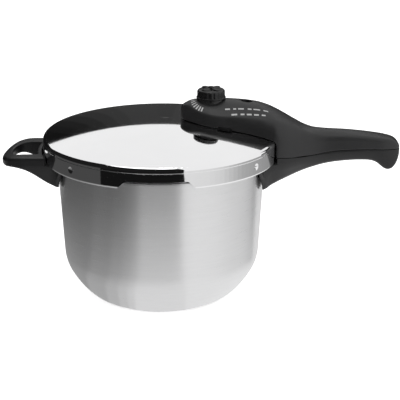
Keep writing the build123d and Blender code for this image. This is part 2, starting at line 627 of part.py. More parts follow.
with BuildPart() as valve_nut:
    with BuildSketch(Plane.XY.offset(190.2)):
        with Locations((KNOB_X, 0)):
            RegularPolygon(11.4, 6)
            Circle(6.1, mode=Mode.SUBTRACT)
    extrude(amount=4.2)
save(valve_nut, "valve_nut")

with BuildPart() as valve_plunger:
    with Locations((KNOB_X, 0, 184.6)):
        Cylinder(1.5, 12.6, align=Z)
    with Locations((KNOB_X, 0, 187.4)):
        Cylinder(3.9, 3.2, align=Z)
save(valve_plunger, "valve_plunger")


def coil(x, z0, z1, r, wire, turns):
    with BuildPart() as piece:
        with BuildLine() as path:
            Helix(pitch=(z1 - z0 - 2 * wire) / turns, height=z1 - z0 - 2 * wire, radius=r, center=(x, 0, z0 + wire))
        with BuildSketch(Plane(origin=path.wire() @ 0, z_dir=path.wire() % 0)):
            Circle(wire)
        sweep(is_frenet=True)
    return piece


valve_spring = coil(KNOB_X, 190.75, 200.9, 3.0, 0.4, 5)
save(valve_spring, "valve_spring")

with BuildPart() as knob_insert:
    with Locations((KNOB_X, 0, 197.6)):
        Cylinder(8.0, 18.2, align=Z)
        Cylinder(6.5, 6.2, align=Z, mode=Mode.SUBTRACT)
    with Locations((KNOB_X, 0, 201.1)):
        Cylinder(3.9, 4.0, align=Z)
save(knob_insert, "knob_insert")

KNOB_Z = 213.8            # underside of the knob
KNOB_FLANGE = 1.5
KNOB_TOP = 223.0
with BuildPart() as pressure_knob:
    with BuildSketch(Plane.XY.offset(KNOB_Z)):
        with Locations((KNOB_X, 0)):
            Circle(15.5)
    extrude(amount=KNOB_FLANGE)
    with BuildSketch(Plane.XY.offset(KNOB_Z + KNOB_FLANGE)):
        with Locations((KNOB_X, 0)):
            Circle(14.7)
    extrude(amount=KNOB_TOP - KNOB_Z - KNOB_FLANGE)
    fillet(pressure_knob.edges().filter_by(GeomType.CIRCLE).group_by(Axis.Z)[-1], 3.0)
    # four low lobes and a small centre button
    with BuildSketch(Plane.XY.offset(KNOB_TOP - 1.1)):
        with Locations((KNOB_X, 0)):
            with PolarLocations(7.0, 4, 45):
                SlotOverall(10.5, 6.4)
    extrude(amount=2.6)
    fillet(pressure_knob.faces().sort_by(Axis.Z)[-4:].edges(), 1.1)
    with Locations((KNOB_X, 0, KNOB_TOP - 1.1)):
        Cylinder(3.0, 4.2, align=Z)
    fillet(pressure_knob.faces().sort_by(Axis.Z)[-1].edges(), 1.2)
    # flutes
    with BuildSketch(Plane.XY.offset(KNOB_Z + KNOB_FLANGE)):
        with Locations((KNOB_X, 0)):
            with PolarLocations(16.1, 18):
                Circle(1.95)
    extrude(amount=20, mode=Mode.SUBTRACT)
    with Locations((KNOB_X, 0, KNOB_Z)):
        Cylinder(8.05, 215.9 - KNOB_Z, align=Z, mode=Mode.SUBTRACT)
save(pressure_knob, "pressure_knob")

# ================================================================= pressure indicator
with BuildPart() as indicator_bush:
    with Locations((PIN_X, 0, 177.5)):
        Cylinder(3.6, 10.0, align=Z)
    with Locations((PIN_X, 0, 184.9)):
        Cylinder(6.0, 1.8, align=Z)
    with Locations((PIN_X, 0, 177.5)):
        Cylinder(5.2, 1.6, align=Z)
        Cylinder(2.25, 12.0, align=Z, mode=Mode.SUBTRACT)
save(indicator_bush, "indicator_bush")

with BuildPart() as indicator_pin:
    with Locations((PIN_X, 0, 170.2)):
        Cylinder(1.95, 35.0, align=Z)
        Cylinder(3.6, 1.6, align=Z)
    with Locations((PIN_X, 0, 187.9)):
        Cylinder(3.3, 1.5, align=Z)
    with Locations((PIN_X, 0, 203.6)):
        Cylinder(3.4, 2.4, align=Z)
    fillet(indicator_pin.faces().sort_by(Axis.Z)[-1].edges(), 0.8)
save(indicator_pin, "indicator_pin")

with BuildPart() as indicator_seal:
    with Locations((PIN_X, 0, 171.85)):
        Cylinder(3.3, 1.0, align=Z)
        Cylinder(2.0, 1.0, align=Z, mode=Mode.SUBTRACT)
save(indicator_seal, "indicator_seal")

# ================================================================= safety valve
with BuildPart() as safety_body:
    with Locations((SAFE_X, 0, 178.0)):
        Cylinder(6.6, 3.6, align=Z)
        Cylinder(4.5, 16.0, align=Z)
        Cylinder(1.6, 20.0, align=Z, mode=Mode.SUBTRACT)
    with Locations((SAFE_X, 0, 185.6)):
        Cylinder(3.4, 7.4, align=Z, mode=Mode.SUBTRACT)
save(safety_body, "safety_body")

with BuildPart() as safety_washer:
    with Locations((SAFE_X, 0, 181.65)):
        Cylinder(6.2, 6.0, align=Z)
        Cylinder(4.6, 6.0, align=Z, mode=Mode.SUBTRACT)
    add(dome_cut.part, mode=Mode.SUBTRACT)
save(safety_washer, "safety_washer")

with BuildPart() as safety_nut:
    with BuildSketch(Plane.XY.offset(187.6)):
        with Locations((SAFE_X, 0)):
            RegularPolygon(6.6, 6)
            Circle(4.6, mode=Mode.SUBTRACT)
    extrude(amount=3.0)
save(safety_nut, "safety_nut")

with BuildPart() as safety_plunger:
    with Locations((SAFE_X, 0, 186.0)):
        Cylinder(3.0, 2.2, align=Z)
    with Locations((SAFE_X, 0, 183.4)):
        Cylinder(1.2, 3.0, align=Z)
save(safety_plunger, "safety_plunger")

safety_spring = coil(SAFE_X, 188.35, 192.85, 2.4, 0.3, 4)
save(safety_spring, "safety_spring")

# ================================================================= printed marks, generic
with BuildPart() as crown_skin:
    for x, zc, k, w in CROWN:
        z0 = zc + 0.12
        with BuildSketch(Plane.YZ.offset(x)):
            with BuildLine():
                ThreePointArc((-w, z0 - k * w * w), (0, z0), (w, z0 - k * w * w))
                Polyline((w, z0 - k * w * w), (w, 120.0), (-w, 120.0), (-w, z0 - k * w * w))
            make_face()
    loft()
    add(crown_block.part, mode=Mode.SUBTRACT)

with BuildPart() as scale_marks:
    with BuildSketch(Plane.XY.offset(180)):
        for i in range(10):
            a = radians(165 + i * 8.4)
            r0, r1, h = 17.2, 21.2 + 0.6 * min(i, 5) - 0.8 * max(0, i - 6), radians(1.1 + 0.22 * i)
            with BuildLine():
                Polyline(*[(KNOB_X + r * cos(a + q), r * sin(a + q)) for r, q in ((r0, -h), (r1, -h), (r1, h), (r0, h))], close=True)
            make_face()
    extrude(amount=40)
    add(crown_skin.part, mode=Mode.INTERSECT)
save(scale_marks, "scale_marks")

with BuildPart() as line_marks:
    with BuildSketch(Plane.XY.offset(170)):
        for row, slope_y, dashes in ((-18.6, 0.075, [(70, 5), (77.5, 3), (84, 6), (93, 4), (100.5, 7), (110, 5)]),
                                     (-24.3, 0.060, [(77, 6), (85.5, 4), (92.5, 5), (100, 5), (107.5, 4)])):
            for x, n in dashes:
                with Locations((x, row + slope_y * (x - 70))):
                    Rectangle(n, 1.5, rotation=4)
    extrude(amount=50)
    add(crown_skin.part, mode=Mode.INTERSECT)
save(line_marks, "line_marks")
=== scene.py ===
import json
import math
import bpy
import numpy as np
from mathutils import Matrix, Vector


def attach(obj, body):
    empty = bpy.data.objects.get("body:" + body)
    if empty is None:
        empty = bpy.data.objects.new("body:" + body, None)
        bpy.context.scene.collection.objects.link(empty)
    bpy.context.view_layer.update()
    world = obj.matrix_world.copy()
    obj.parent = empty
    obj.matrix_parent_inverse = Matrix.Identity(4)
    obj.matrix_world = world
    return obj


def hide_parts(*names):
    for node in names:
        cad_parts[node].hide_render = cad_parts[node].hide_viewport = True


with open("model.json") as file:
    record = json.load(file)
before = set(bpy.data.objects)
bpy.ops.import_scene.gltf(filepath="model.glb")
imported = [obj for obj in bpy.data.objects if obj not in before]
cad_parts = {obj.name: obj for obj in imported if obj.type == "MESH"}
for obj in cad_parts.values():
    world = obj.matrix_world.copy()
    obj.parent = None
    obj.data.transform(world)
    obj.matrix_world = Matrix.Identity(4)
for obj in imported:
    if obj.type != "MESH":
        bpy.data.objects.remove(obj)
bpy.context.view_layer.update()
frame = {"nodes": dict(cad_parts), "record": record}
scene = bpy.context.scene
node = frame["nodes"]


# ------------------------------------------------------------------ materials
class Mat:
    def __init__(self, name, **sockets):
        self.m = bpy.data.materials.new(name)
        self.m.use_nodes = True
        self.t = self.m.node_tree
        self.b = self.t.nodes["Principled BSDF"]
        for k, v in sockets.items():
            self.b.inputs[k.replace("_", " ")].default_value = v

    def n(self, kind, **props):
        x = self.t.nodes.new(kind)
        for k, v in props.items():
            setattr(x, k, v)
        return x

    def link(self, a, b):
        self.t.links.new(a, b)

    def coords(self, scale=(1, 1, 1)):
        c = self.n("ShaderNodeTexCoord")
        m = self.n("ShaderNodeMapping")
        m.inputs["Scale"].default_value = scale
        self.link(c.outputs["Object"], m.inputs["Vector"])
        return m.outputs["Vector"]

    def noise(self, vec, scale, detail=3.0, rough=0.5, dist=0.0):
        x = self.n("ShaderNodeTexNoise")
        x.inputs["Scale"].default_value = scale
        x.inputs["Detail"].default_value = detail
        x.inputs["Roughness"].default_value = rough
        x.inputs["Distortion"].default_value = dist
        self.link(vec, x.inputs["Vector"])
        return x.outputs["Fac"]

    def ramp(self, fac, lo, hi, a=0.0, b=1.0):
        x = self.n("ShaderNodeMapRange")
        x.inputs["From Min"].default_value = lo
        x.inputs["From Max"].default_value = hi
        x.inputs["To Min"].default_value = a
        x.inputs["To Max"].default_value = b
        self.link(fac, x.inputs["Value"])
        return x.outputs["Result"]

    def colour(self, fac, c0, c1):
        x = self.n("ShaderNodeMix", data_type="RGBA")
        x.inputs["A"].default_value = (*c0, 1)
        x.inputs["B"].default_value = (*c1, 1)
        self.link(fac, x.inputs["Factor"])
        return x.outputs["Result"]

    def math(self, op, a, b):
        x = self.n("ShaderNodeMath", operation=op)
        for i, v in enumerate((a, b)):
            if isinstance(v, (int, float)):
                x.inputs[i].default_value = v
            else:
                self.link(v, x.inputs[i])
        return x.outputs[0]

    def bump(self, height, strength, distance):
        x = self.n("ShaderNodeBump")
        x.inputs["Strength"].default_value = strength
        x.inputs["Distance"].default_value = distance
        self.link(height, x.inputs["Height"])
        self.link(x.outputs["Normal"], self.b.inputs["Normal"])
        return x

    def to(self, out, socket):
        self.link(out, self.b.inputs[socket])


def satin_steel():
    m = Mat("satin_steel", Metallic=1.0, Anisotropic=0.8, Anisotropic_Rotation=0.25)
    rings = m.noise(m.coords((1, 1, 55)), 38, 4, 0.62)
    broad = m.noise(m.coords((1, 1, 14)), 22, 3, 0.55)
    m.to(m.colour(m.math("ADD", m.math("MULTIPLY", rings, 0.6), m.math("MULTIPLY", broad, 0.4)), (0.70, 0.70, 0.705), (0.82, 0.82, 0.825)), "Base Color")
    m.to(m.ramp(rings, 0.3, 0.7, 0.27, 0.37), "Roughness")
    m.bump(rings, 0.22, 0.00008)
    t = m.n("ShaderNodeTangent", direction_type="RADIAL", axis="Z")
    m.to(t.outputs["Tangent"], "Tangent")
    return m.m


def mirror_steel():
    m = Mat("mirror_steel", Metallic=1.0)
    smear = m.noise(m.coords(), 14, 3, 0.55, 0.4)
    fine = m.noise(m.coords((1, 1, 1)), 420, 2, 0.5)
    m.to(m.colour(smear, (0.80, 0.80, 0.805), (0.86, 0.86, 0.865)), "Base Color")
    m.to(m.ramp(smear, 0.3, 0.75, 0.035, 0.075), "Roughness")
    m.bump(fine, 0.02, 0.00002)
    return m.m


def plastic(name, base, rough=0.42):
    m = Mat(name, Metallic=0.0)
    m.b.inputs["Specular IOR Level"].default_value = 0.42
    grain = m.noise(m.coords(), 1900, 3, 0.55)
    mottle = m.noise(m.coords(), 55, 4, 0.6)
    m.to(m.colour(mottle, [c * 0.82 for c in base], [c * 1.22 for c in base]), "Base Color")
    m.to(m.ramp(mottle, 0.3, 0.7, rough - 0.04, rough + 0.05), "Roughness")
    m.bump(grain, 0.28, 0.00009)
    return m.m


def plain_metal(name, base, rough, scale=300):
    m = Mat(name, Metallic=1.0)
    g = m.noise(m.coords(), scale, 4, 0.6)
    m.to(m.colour(g, [c * 0.86 for c in base], [min(1, c * 1.08) for c in base]), "Base Color")
    m.to(m.ramp(g, 0.3, 0.7, rough - 0.06, rough + 0.08), "Roughness")
    m.bump(g, 0.1, 0.00006)
    return m.m


def rubber(name, base):
    m = Mat(name, Metallic=0.0)
    g = m.noise(m.coords(), 700, 3, 0.5)
    m.to(m.colour(g, [c * 0.85 for c in base], [c * 1.15 for c in base]), "Base Color")
    m.to(m.ramp(g, 0.3, 0.7, 0.55, 0.72), "Roughness")
    m.bump(g, 0.15, 0.00006)
    return m.m


def ink(name, base):
    m = Mat(name, Metallic=0.0)
    g = m.noise(m.coords(), 900, 3, 0.6)
    m.to(m.colour(g, [c * 0.72 for c in base], base), "Base Color")
    m.to(m.ramp(g, 0.3, 0.7, 0.5, 0.65), "Roughness")
    m.bump(g, 0.1, 0.00003)
    return m.m


mats = {
    "satin_steel": satin_steel(),
    "mirror_steel": mirror_steel(),
    "plain_steel": plain_metal("plain_steel", (0.55, 0.55, 0.56), 0.34),
    # the aluminium core is coloured near black: painted shade for the dark line under the pot's base
    "base_aluminium": plain_metal("base_aluminium", (0.10, 0.10, 0.105), 0.6),
    "handle_plastic": plastic("handle_plastic", (0.0130, 0.0130, 0.0136), 0.42),
    "knob_plastic": plastic("knob_plastic", (0.006, 0.006, 0.0064), 0.36),
    "gasket_rubber": rubber("gasket_rubber", (0.16, 0.16, 0.165)),
    "valve_brass": plain_metal("valve_brass", (0.62, 0.47, 0.22), 0.3, 500),
    "screw_steel": plain_metal("screw_steel", (0.52, 0.52, 0.53), 0.3, 600),
    "spring_steel": plain_metal("spring_steel", (0.5, 0.5, 0.52), 0.28, 800),
    "pin_aluminium": plain_metal("pin_aluminium", (0.42, 0.42, 0.43), 0.35, 700),
    "white_print": ink("white_print", (0.50, 0.50, 0.50)),
}
def base_steel():
    """Steel of the base cap, with painted shade along its upper edge where it tucks under the foot."""
    m = Mat("base_steel", Metallic=1.0)
    g = m.noise(m.coords((1, 1, 4)), 60, 3, 0.6)
    c = m.n("ShaderNodeTexCoord")
    sep = m.n("ShaderNodeSeparateXYZ")
    m.link(c.outputs["Object"], sep.inputs["Vector"])
    # mask of a near-black band at the cap's top edge: painted shade in the joint under the foot
    line = m.ramp(sep.outputs["Z"], 0.0005, 0.0007)
    steel = m.colour(g, (0.72, 0.72, 0.725), (0.84, 0.84, 0.845))
    x = m.n("ShaderNodeMix", data_type="RGBA")
    x.inputs["B"].default_value = (0.035, 0.035, 0.036, 1)
    m.link(line, x.inputs["Factor"])
    m.link(steel, x.inputs["A"])
    m.to(x.outputs["Result"], "Base Color")
    m.to(m.ramp(g, 0.3, 0.7, 0.34, 0.44), "Roughness")
    m.bump(g, 0.06, 0.00004)
    return m.m


slots = {s["node"]: s["material_slot"] for s in frame["record"]["subparts"]}
for name, o in node.items():
    o.data.materials.clear()
    o.data.materials.append(mats[slots[name]])
    for p in o.data.polygons:
        p.material_index = 0

node["base_cap"].data.materials[0] = base_steel()

# ------------------------------------------------------------------ moulded pieces
# The plastic pieces are made again from smooth fields (mm, the CAD frame), with the rounded edges of a moulding.
def curve(pts, n=14, closed=False):
    """A smooth line through points (Catmull-Rom with centripetal spacing)."""
    P = [np.array(p, float) for p in pts]
    P = [P[-1]] + P + [P[0], P[1]] if closed else [2 * P[0] - P[1]] + P + [2 * P[-1] - P[-2]]
    out = []
    for a, b, c, d in zip(P, P[1:], P[2:], P[3:]):
        t0 = 0.0
        t1 = t0 + max(1e-6, np.linalg.norm(b - a)) ** 0.5
        t2 = t1 + max(1e-6, np.linalg.norm(c - b)) ** 0.5
        t3 = t2 + max(1e-6, np.linalg.norm(d - c)) ** 0.5
        for t in np.linspace(t1, t2, n, endpoint=False):
            A1 = (t1 - t) / (t1 - t0) * a + (t - t0) / (t1 - t0) * b
            A2 = (t2 - t) / (t2 - t1) * b + (t - t1) / (t2 - t1) * c
            A3 = (t3 - t) / (t3 - t2) * c + (t - t2) / (t3 - t2) * d
            B1 = (t2 - t) / (t2 - t0) * A1 + (t - t0) / (t2 - t0) * A2
            B2 = (t3 - t) / (t3 - t1) * A2 + (t - t1) / (t3 - t1) * A3
            out.append((t2 - t) / (t2 - t1) * B1 + (t - t1) / (t2 - t1) * B2)
    if not closed:
        out.append(P[-2])
    return [tuple(p) for p in out]


def smooth(x, xs, ys):
    """A monotone cubic through a table."""
    xs, ys = np.array(xs, float), np.array(ys, float)
    h, d = np.diff(xs), np.diff(ys) / np.diff(xs)
    m = np.zeros_like(ys)
    m[0], m[-1] = d[0], d[-1]
    for i in range(1, len(xs) - 1):
        if d[i - 1] * d[i] > 0:
            w1, w2 = 2 * h[i] + h[i - 1], h[i] + 2 * h[i - 1]
            m[i] = (w1 + w2) / (w1 / d[i - 1] + w2 / d[i])
    x = np.clip(x, xs[0], xs[-1])
    i = np.clip(np.searchsorted(xs, x) - 1, 0, len(h) - 1)
    t = (x - xs[i]) / h[i]
    return (ys[i] * (1 + 2 * t) * (1 - t) ** 2 + m[i] * h[i] * t * (1 - t) ** 2
            + ys[i + 1] * t * t * (3 - 2 * t) + m[i + 1] * h[i] * t * t * (t - 1))


class Flat:
    """Signed distance to a closed outline in a plane, tabulated; positive outside."""

    def __init__(self, pts, lo, hi, h=0.5):
        self.lo, self.h = lo, h
        u = np.arange(lo[0], hi[0] + h, h)
        v = np.arange(lo[1], hi[1] + h, h)
        U, V = np.meshgrid(u, v, indexing="ij")
        best = np.full(U.shape, 1e9)
        inside = np.zeros(U.shape, bool)
        P = np.array(pts, float)
        for a, b in zip(P, np.roll(P, -1, 0)):
            e = b - a
            L = float(e @ e)
            if L < 1e-12:
                continue
            t = np.clip(((U - a[0]) * e[0] + (V - a[1]) * e[1]) / L, 0, 1)
            best = np.minimum(best, (U - a[0] - t * e[0]) ** 2 + (V - a[1] - t * e[1]) ** 2)
            if a[1] != b[1]:
                c = (a[1] > V) != (b[1] > V)
                inside ^= c & (U < (b[0] - a[0]) * (V - a[1]) / (b[1] - a[1]) + a[0])
        self.d = np.where(inside, -np.sqrt(best), np.sqrt(best))

    def __call__(self, u, v):
        a = np.clip((u - self.lo[0]) / self.h, 0, self.d.shape[0] - 1.001)
        b = np.clip((v - self.lo[1]) / self.h, 0, self.d.shape[1] - 1.001)
        i, j = a.astype(int), b.astype(int)
        a, b = a - i, b - j
        return (self.d[i, j] * (1 - a) * (1 - b) + self.d[i + 1, j] * a * (1 - b)
                + self.d[i, j + 1] * (1 - a) * b + self.d[i + 1, j + 1] * a * b)


def both(a, b, r):
    """Intersection of two fields with a rounded edge."""
    return np.minimum(-r, np.maximum(a, b)) + np.sqrt(np.maximum(a + r, 0) ** 2 + np.maximum(b + r, 0) ** 2)


def either(a, b, r):
    return -both(-a, -b, r)


def less(a, b, r=0.0):
    return both(a, -b, r) if r else np.maximum(a, -b)


def box_f(x, y, z, lo, hi):
    return np.maximum.reduce([lo[0] - x, x - hi[0], lo[1] - y, y - hi[1], lo[2] - z, z - hi[2]])


def made(name, field, lo, hi, h, body, slot_name, replaced):
    """The zero surface of a field as a mesh of quads (surface nets), pulled onto the surface, riding on a body."""
    ax = [np.arange(lo[i], hi[i] + h, h) for i in range(3)]
    X, Y, Z = np.meshgrid(*ax, indexing="ij")
    F = field(X, Y, Z)
    F = np.where(np.abs(F) < 1e-9, 1e-9, F)
    shape = tuple(n - 1 for n in F.shape)
    count = np.zeros(shape)
    total = np.zeros(shape + (3,))
    for a in range(3):
        b, c = (a + 1) % 3, (a + 2) % 3
        for ob in (0, 1):
            for oc in (0, 1):
                s0, s1 = [None] * 3, [None] * 3
                s0[a], s1[a] = slice(0, -1), slice(1, None)
                for q, o in ((b, ob), (c, oc)):
                    s0[q] = s1[q] = slice(o, F.shape[q] - 1 + o)
                A, B = F[tuple(s0)], F[tuple(s1)]
                m = (A < 0) != (B < 0)
                t = np.where(m, A / np.where(m, A - B, 1), 0)
                count += m
                total[..., a] += t
                total[..., b] += ob * m
                total[..., c] += oc * m
    has = count > 0
    cells = np.argwhere(has)
    V = np.array(lo) + h * (cells + total[has] / count[has][:, None])
    idx = -np.ones(shape, int)
    idx[has] = np.arange(len(cells))
    quads = []
    for a in range(3):
        b, c = (a + 1) % 3, (a + 2) % 3
        s0, s1 = [slice(1, -1)] * 3, [slice(1, -1)] * 3
        s0[a], s1[a] = slice(0, -1), slice(1, None)
        A, B = F[tuple(s0)], F[tuple(s1)]
        for flip, m in ((False, (A < 0) & (B >= 0)), (True, (A >= 0) & (B < 0))):
            p = np.argwhere(m)
            p[:, b] += 1
            p[:, c] += 1
            ring = []
            for db, dc in ((1, 1), (0, 1), (0, 0), (1, 0)):
                q = p.copy()
                q[:, b] -= db
                q[:, c] -= dc
                ring.append(idx[q[:, 0], q[:, 1], q[:, 2]])
            quads.append(np.stack(ring[::-1] if flip else ring, 1))
    Q = np.concatenate(quads)
    e = 0.05
    for _ in range(3):
        f = field(*V.T)
        g = np.stack([field(*(V + e * d).T) - field(*(V - e * d).T) for d in np.eye(3)], 1) / (2 * e)
        n2 = np.maximum((g ** 2).sum(1), 0.25)
        step = np.clip(-f / n2, -0.4 * h, 0.4 * h)
        V = V + step[:, None] * g
    me = bpy.data.meshes.new(name)
    me.from_pydata((V / 1000.0).tolist(), [], Q.tolist())
    me.validate()
    me.shade_smooth()
    o = bpy.data.objects.new(name, me)
    scene.collection.objects.link(o)
    me.materials.append(mats[slot_name])
    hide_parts(replaced)
    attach(o, body)
    return o


PLAN = [(21.5, 0.0), (23.4, 5.5), (28.0, 11.0), (36.0, 17.4), (46.0, 23.6), (58.0, 27.0),
        (75.0, 28.0), (90.0, 28.6), (102.0, 29.8), (112.0, 32.0), (120.5, 33.6), (130.0, 31.6), (141.0, 26.6), (151.0, 21.6),
        (161.0, 17.9), (172.0, 15.7), (186.0, 14.9), (205.0, 14.5), (222.0, 13.9), (237.0, 12.7),
        (247.0, 9.6), (252.5, 5.0), (254.3, 0.0)]
PART = [(125.2, 157.5), (133.0, 156.6), (143.0, 155.6), (154.0, 155.3), (165.0, 156.3), (177.0, 158.3),
        (189.0, 159.7), (202.0, 160.4), (220.0, 160.5), (237.0, 160.0), (262.0, 158.9)]
CROWN = [(8.0, 194.4, 0.0270), (22.0, 206.0, 0.0300), (35.5, 212.1, 0.0300), (53.0, 213.1, 0.0205), (78.0, 212.2, 0.0183),
         (100.0, 209.6, 0.0168), (112.0, 205.8, 0.0127), (122.0, 200.8, 0.0093), (132.0, 195.0, 0.0088),
         (142.0, 189.2, 0.0090), (151.0, 184.6, 0.0115), (162.0, 181.4, 0.0190),
         (176.0, 180.2, 0.0250), (194.0, 179.1, 0.0210), (212.0, 177.1, 0.0150),
         (230.0, 174.3, 0.0110), (244.0, 171.9, 0.0100), (260.0, 169.0, 0.0100)]
SIDE = [(238.0, 173.4), (245.0, 171.0), (250.2, 166.6), (253.4, 160.2), (253.4, 153.5), (251.2, 146.5),
        (247.6, 141.0), (243.6, 138.1), (239.8, 137.4), (236.0, 138.9), (232.2, 142.0), (228.0, 145.4),
        (221.5, 147.7), (210.0, 148.3), (195.0, 147.5), (177.0, 145.2), (160.0, 141.0), (146.0, 136.7),
        (133.0, 132.0), (116.0, 125.3), (106.0, 120.2), (98.0, 116.2)]
KX, PX = 53.0, 90.0


def dome(r, off=0.0):
    return 192.0 + off - (446.0 - np.sqrt(446.0 ** 2 - np.minimum(r, 130.0) ** 2))


plan_out = curve(PLAN + [(x, -y) for x, y in reversed(PLAN[1:-1])], 10, True)
plan_f = Flat(plan_out, (16, -46), (262, 46), 0.4)
side_f = Flat(curve(SIDE, 10) + [(60, 116.2), (60, 240), (232, 240), (232, 175.2)], (88, 110), (262, 240), 0.4)
roof = [(r, float(dome(r, 0.6))) for r in np.linspace(0, 121, 40)]
roof += curve([roof[-1], (122.8, 174.95), (124.1, 173.6), (124.95, 172.0), (125.2, 170.4)], 6)[1:]
roof += curve([(r, z + 0.4) for r, z in PART], 8)
under_f = Flat(roof + [(262, 100), (0, 100)], (0, 140), (262, 216), 0.4)


def zc(x, off=0.0):
    return smooth(x, [c[0] for c in CROWN], [c[1] for c in CROWN]) + off


def kc(x):
    return smooth(x, [c[0] for c in CROWN], [c[2] for c in CROWN])


def crown_f(x, y, z):
    k = kc(x)
    s = (smooth(x + 1, [c[0] for c in CROWN], [c[1] for c in CROWN]) - smooth(x - 1, [c[0] for c in CROWN], [c[1] for c in CROWN])) / 2
    return (z - zc(x) + k * y * y) / np.sqrt(1 + s * s + np.minimum(2 * k * y, 3) ** 2)


def cover(x, y, z):
    r = np.hypot(x, y)
    rad = smooth(x, [20, 80, 105, 122, 140, 160, 175, 230, 255], [2.6, 2.8, 5.0, 10.0, 11.0, 5.0, 3.2, 3.4, 4.5])
    plan, crown = plan_f(x, y), crown_f(x, y, z)
    out = both(plan, crown, rad)
    out = np.where(x > 200, both(out, side_f(x, z), 2.5), out)
    low = -under_f(r, z)
    out = both(out, low, 0.7)
    inner = np.maximum(both(plan + 2.8, crown + 3.0, np.maximum(rad - 1.5, 0.5)), x - 241.0)
    d = np.maximum(out, -inner)
    for bx, br, bz in ((200, 3.6, 165.0), (230, 3.6, 165.0), (141, 4.2, 173.2), (157, 4.2, 173.2)):
        d = np.minimum(d, np.maximum.reduce([np.hypot(x - bx, y) - br, bz - z, crown + 1.5]))
    for bx, br, bz in ((200, 1.4, 173.0), (230, 1.4, 173.0), (141, 1.8, 179.0), (157, 1.8, 179.0)):
        d = np.maximum(d, -np.maximum(np.hypot(x - bx, y) - br, z - bz))
    kr = np.hypot(x - KX, y)
    seat = both(kr - 13.0, np.maximum(z - 213.4, 206.0 - z), 0.5)
    d = either(d, seat, 0.8)
    d = np.maximum(d, 9.0 - kr)
    oval = (np.sqrt(((x - PX) / 6.6) ** 2 + (y / 5.6) ** 2) - 1) * 5.9
    d = both(d, -oval, 0.7)
    slot_d = np.maximum.reduce([59.8 - x, x - 74.3, (z - 189.6) + 0.10 * (x - 61.5), y + 20.5, -45.0 - y])
    return both(d, -slot_d, 0.5)


cover_o = made("cover_moulding", cover, (20, -35.2, 156), (256, 35.2, 215), 0.8, "lid", "handle_plastic", "lid_handle_cover")

tail = [(120.5, 34.2)] + PLAN[PLAN.index((130.0, 31.6)):]
low_out = curve(tail + [(x, -y) for x, y in reversed(tail[:-1])], 10) + [(98, -38.0), (98, 38.0)]
low_plan = Flat(low_out, (88, -46), (262, 46), 0.4)
ledge = [(0, 100), (0, 150.6), (125.8, 150.6), (125.8, 157.3)] + curve([(125.8, 157.3)] + PART[1:], 8)[1:] + [(262, 100)]
top_f = Flat(ledge, (60, 110), (262, 170), 0.4)
LIP = [(-41.0, 150.6), (-46.2, 146.0), (-37.0, 133.8), (-24.5, 118.5), (24.5, 118.5), (37.0, 133.8), (46.2, 146.0), (41.0, 150.6)]
lip_f = Flat(LIP, (-52, 110), (52, 158), 0.4)
LOW = [(98.0, 37.0, 28.0, 116.0, 148.0), (108.0, 37.0, 27.5, 117.5, 148.0), (119.0, 34.3, 24.5, 121.5, 148.0),
       (130.0, 31.6, 20.5, 126.0, 148.0), (141.0, 26.6, 16.0, 130.0, 149.0), (151.0, 21.6, 12.5, 133.0, 150.0),
       (161.0, 17.9, 10.8, 136.0, 151.0), (172.0, 15.7, 10.0, 139.0, 152.5), (186.0, 14.9, 9.6, 141.0, 154.0),
       (205.0, 14.5, 9.4, 142.0, 155.0), (222.0, 13.9, 9.2, 141.0, 155.0), (235.0, 13.1, 9.4, 134.0, 153.0),
       (256.0, 12.2, 9.4, 131.0, 152.0)]


def lean(x, y, z):
    wt, wb, zb, zm = (smooth(x, [q[0] for q in LOW], [q[i] for q in LOW]) for i in (1, 2, 3, 4))
    s = (wt - wb) / (zm - zb)
    return (np.abs(y) - (wb + s * (z - zb))) / np.sqrt(1 + s * s)


def sockets(d, x, y, z, r, sx, x0, x1):
    d = np.maximum(d, 111.15 - r)
    d = np.maximum(d, -box_f(x, y, z, (x0, -10.4, 135.4), (x1, 10.4, 147.4)))
    hr = np.hypot(x - sx, y)
    return np.maximum(d, -np.minimum(np.maximum(hr - 4.3, z - 133.0), np.maximum(hr - 2.7, z - 140.0)))


def pot_handle(x, y, z):
    r = np.hypot(x, y)
    side = side_f(x, z)
    walls = both(low_plan(x, y), lean(x, y, z), 2.0)
    lip_d = np.maximum.reduce([lip_f(y, z), r - 114.4, 60 - x])
    walls = either(walls, lip_d, 7.0)
    d = both(walls, side, smooth(x, [100, 112, 130, 150, 200, 255], [1.5, 2.5, 4.5, 4.0, 3.6, 3.2]))
    d = both(d, top_f(r, z), 0.7)
    return sockets(d, x, y, z, r, 124.0, 85.0, 137.0)


# a darker copy of the handle plastic for the pot's two handles: painted shade, darker than the same plastic on the lid
mats["shaded_pot_plastic"] = plastic("shaded_pot_plastic", (0.0075, 0.0075, 0.0080), 0.40)
low_o = made("pot_handle_moulding", pot_handle, (94, -49.2, 115), (255.5, 49.2, 162), 0.8, "pot", "handle_plastic", "pot_handle")

HELP_PLAN = [(-132.0, 39.0), (-137.0, 39.0), (-146.0, 38.0), (-155.5, 33.0), (-162.5, 23.5), (-166.8, 12.0), (-168.4, 0.0)]
HOLE_PLAN = [(-140.0, 23.0), (-149.5, 20.6), (-155.2, 12.4), (-157.0, 0.0)]
HELP_LOW = [(-96, 120.0), (-104, 123.0), (-110.5, 125.4), (-116, 127.6), (-121, 130.8), (-126, 134.6), (-131, 138.6),
            (-136, 142.0), (-141, 144.8), (-146, 146.6), (-152, 147.2), (-157, 146.6), (-162, 145.0), (-168, 143.5), (-173, 143.0)]
HELP_TOP = [(-173, 149.0), (-168, 151.4), (-165, 153.0), (-160, 155.2), (-155, 156.9), (-150, 158.0), (-144, 158.8), (-138, 159.1)]
help_out = curve(HELP_PLAN + [(x, -y) for x, y in reversed(HELP_PLAN[:-1])], 12) + [(-90, -39.0), (-90, 39.0)]
help_plan = Flat(help_out, (-176, -48), (-90, 48), 0.4)
help_side = Flat(curve(HELP_LOW, 8) + curve(HELP_TOP, 8) + [(-90, 159.1), (-90, 117.6)], (-176, 110), (-90, 168), 0.4)
back = [(-130.6 + 2.0 * (t * t), 22.6 * t) for t in np.linspace(1, -1, 15)]
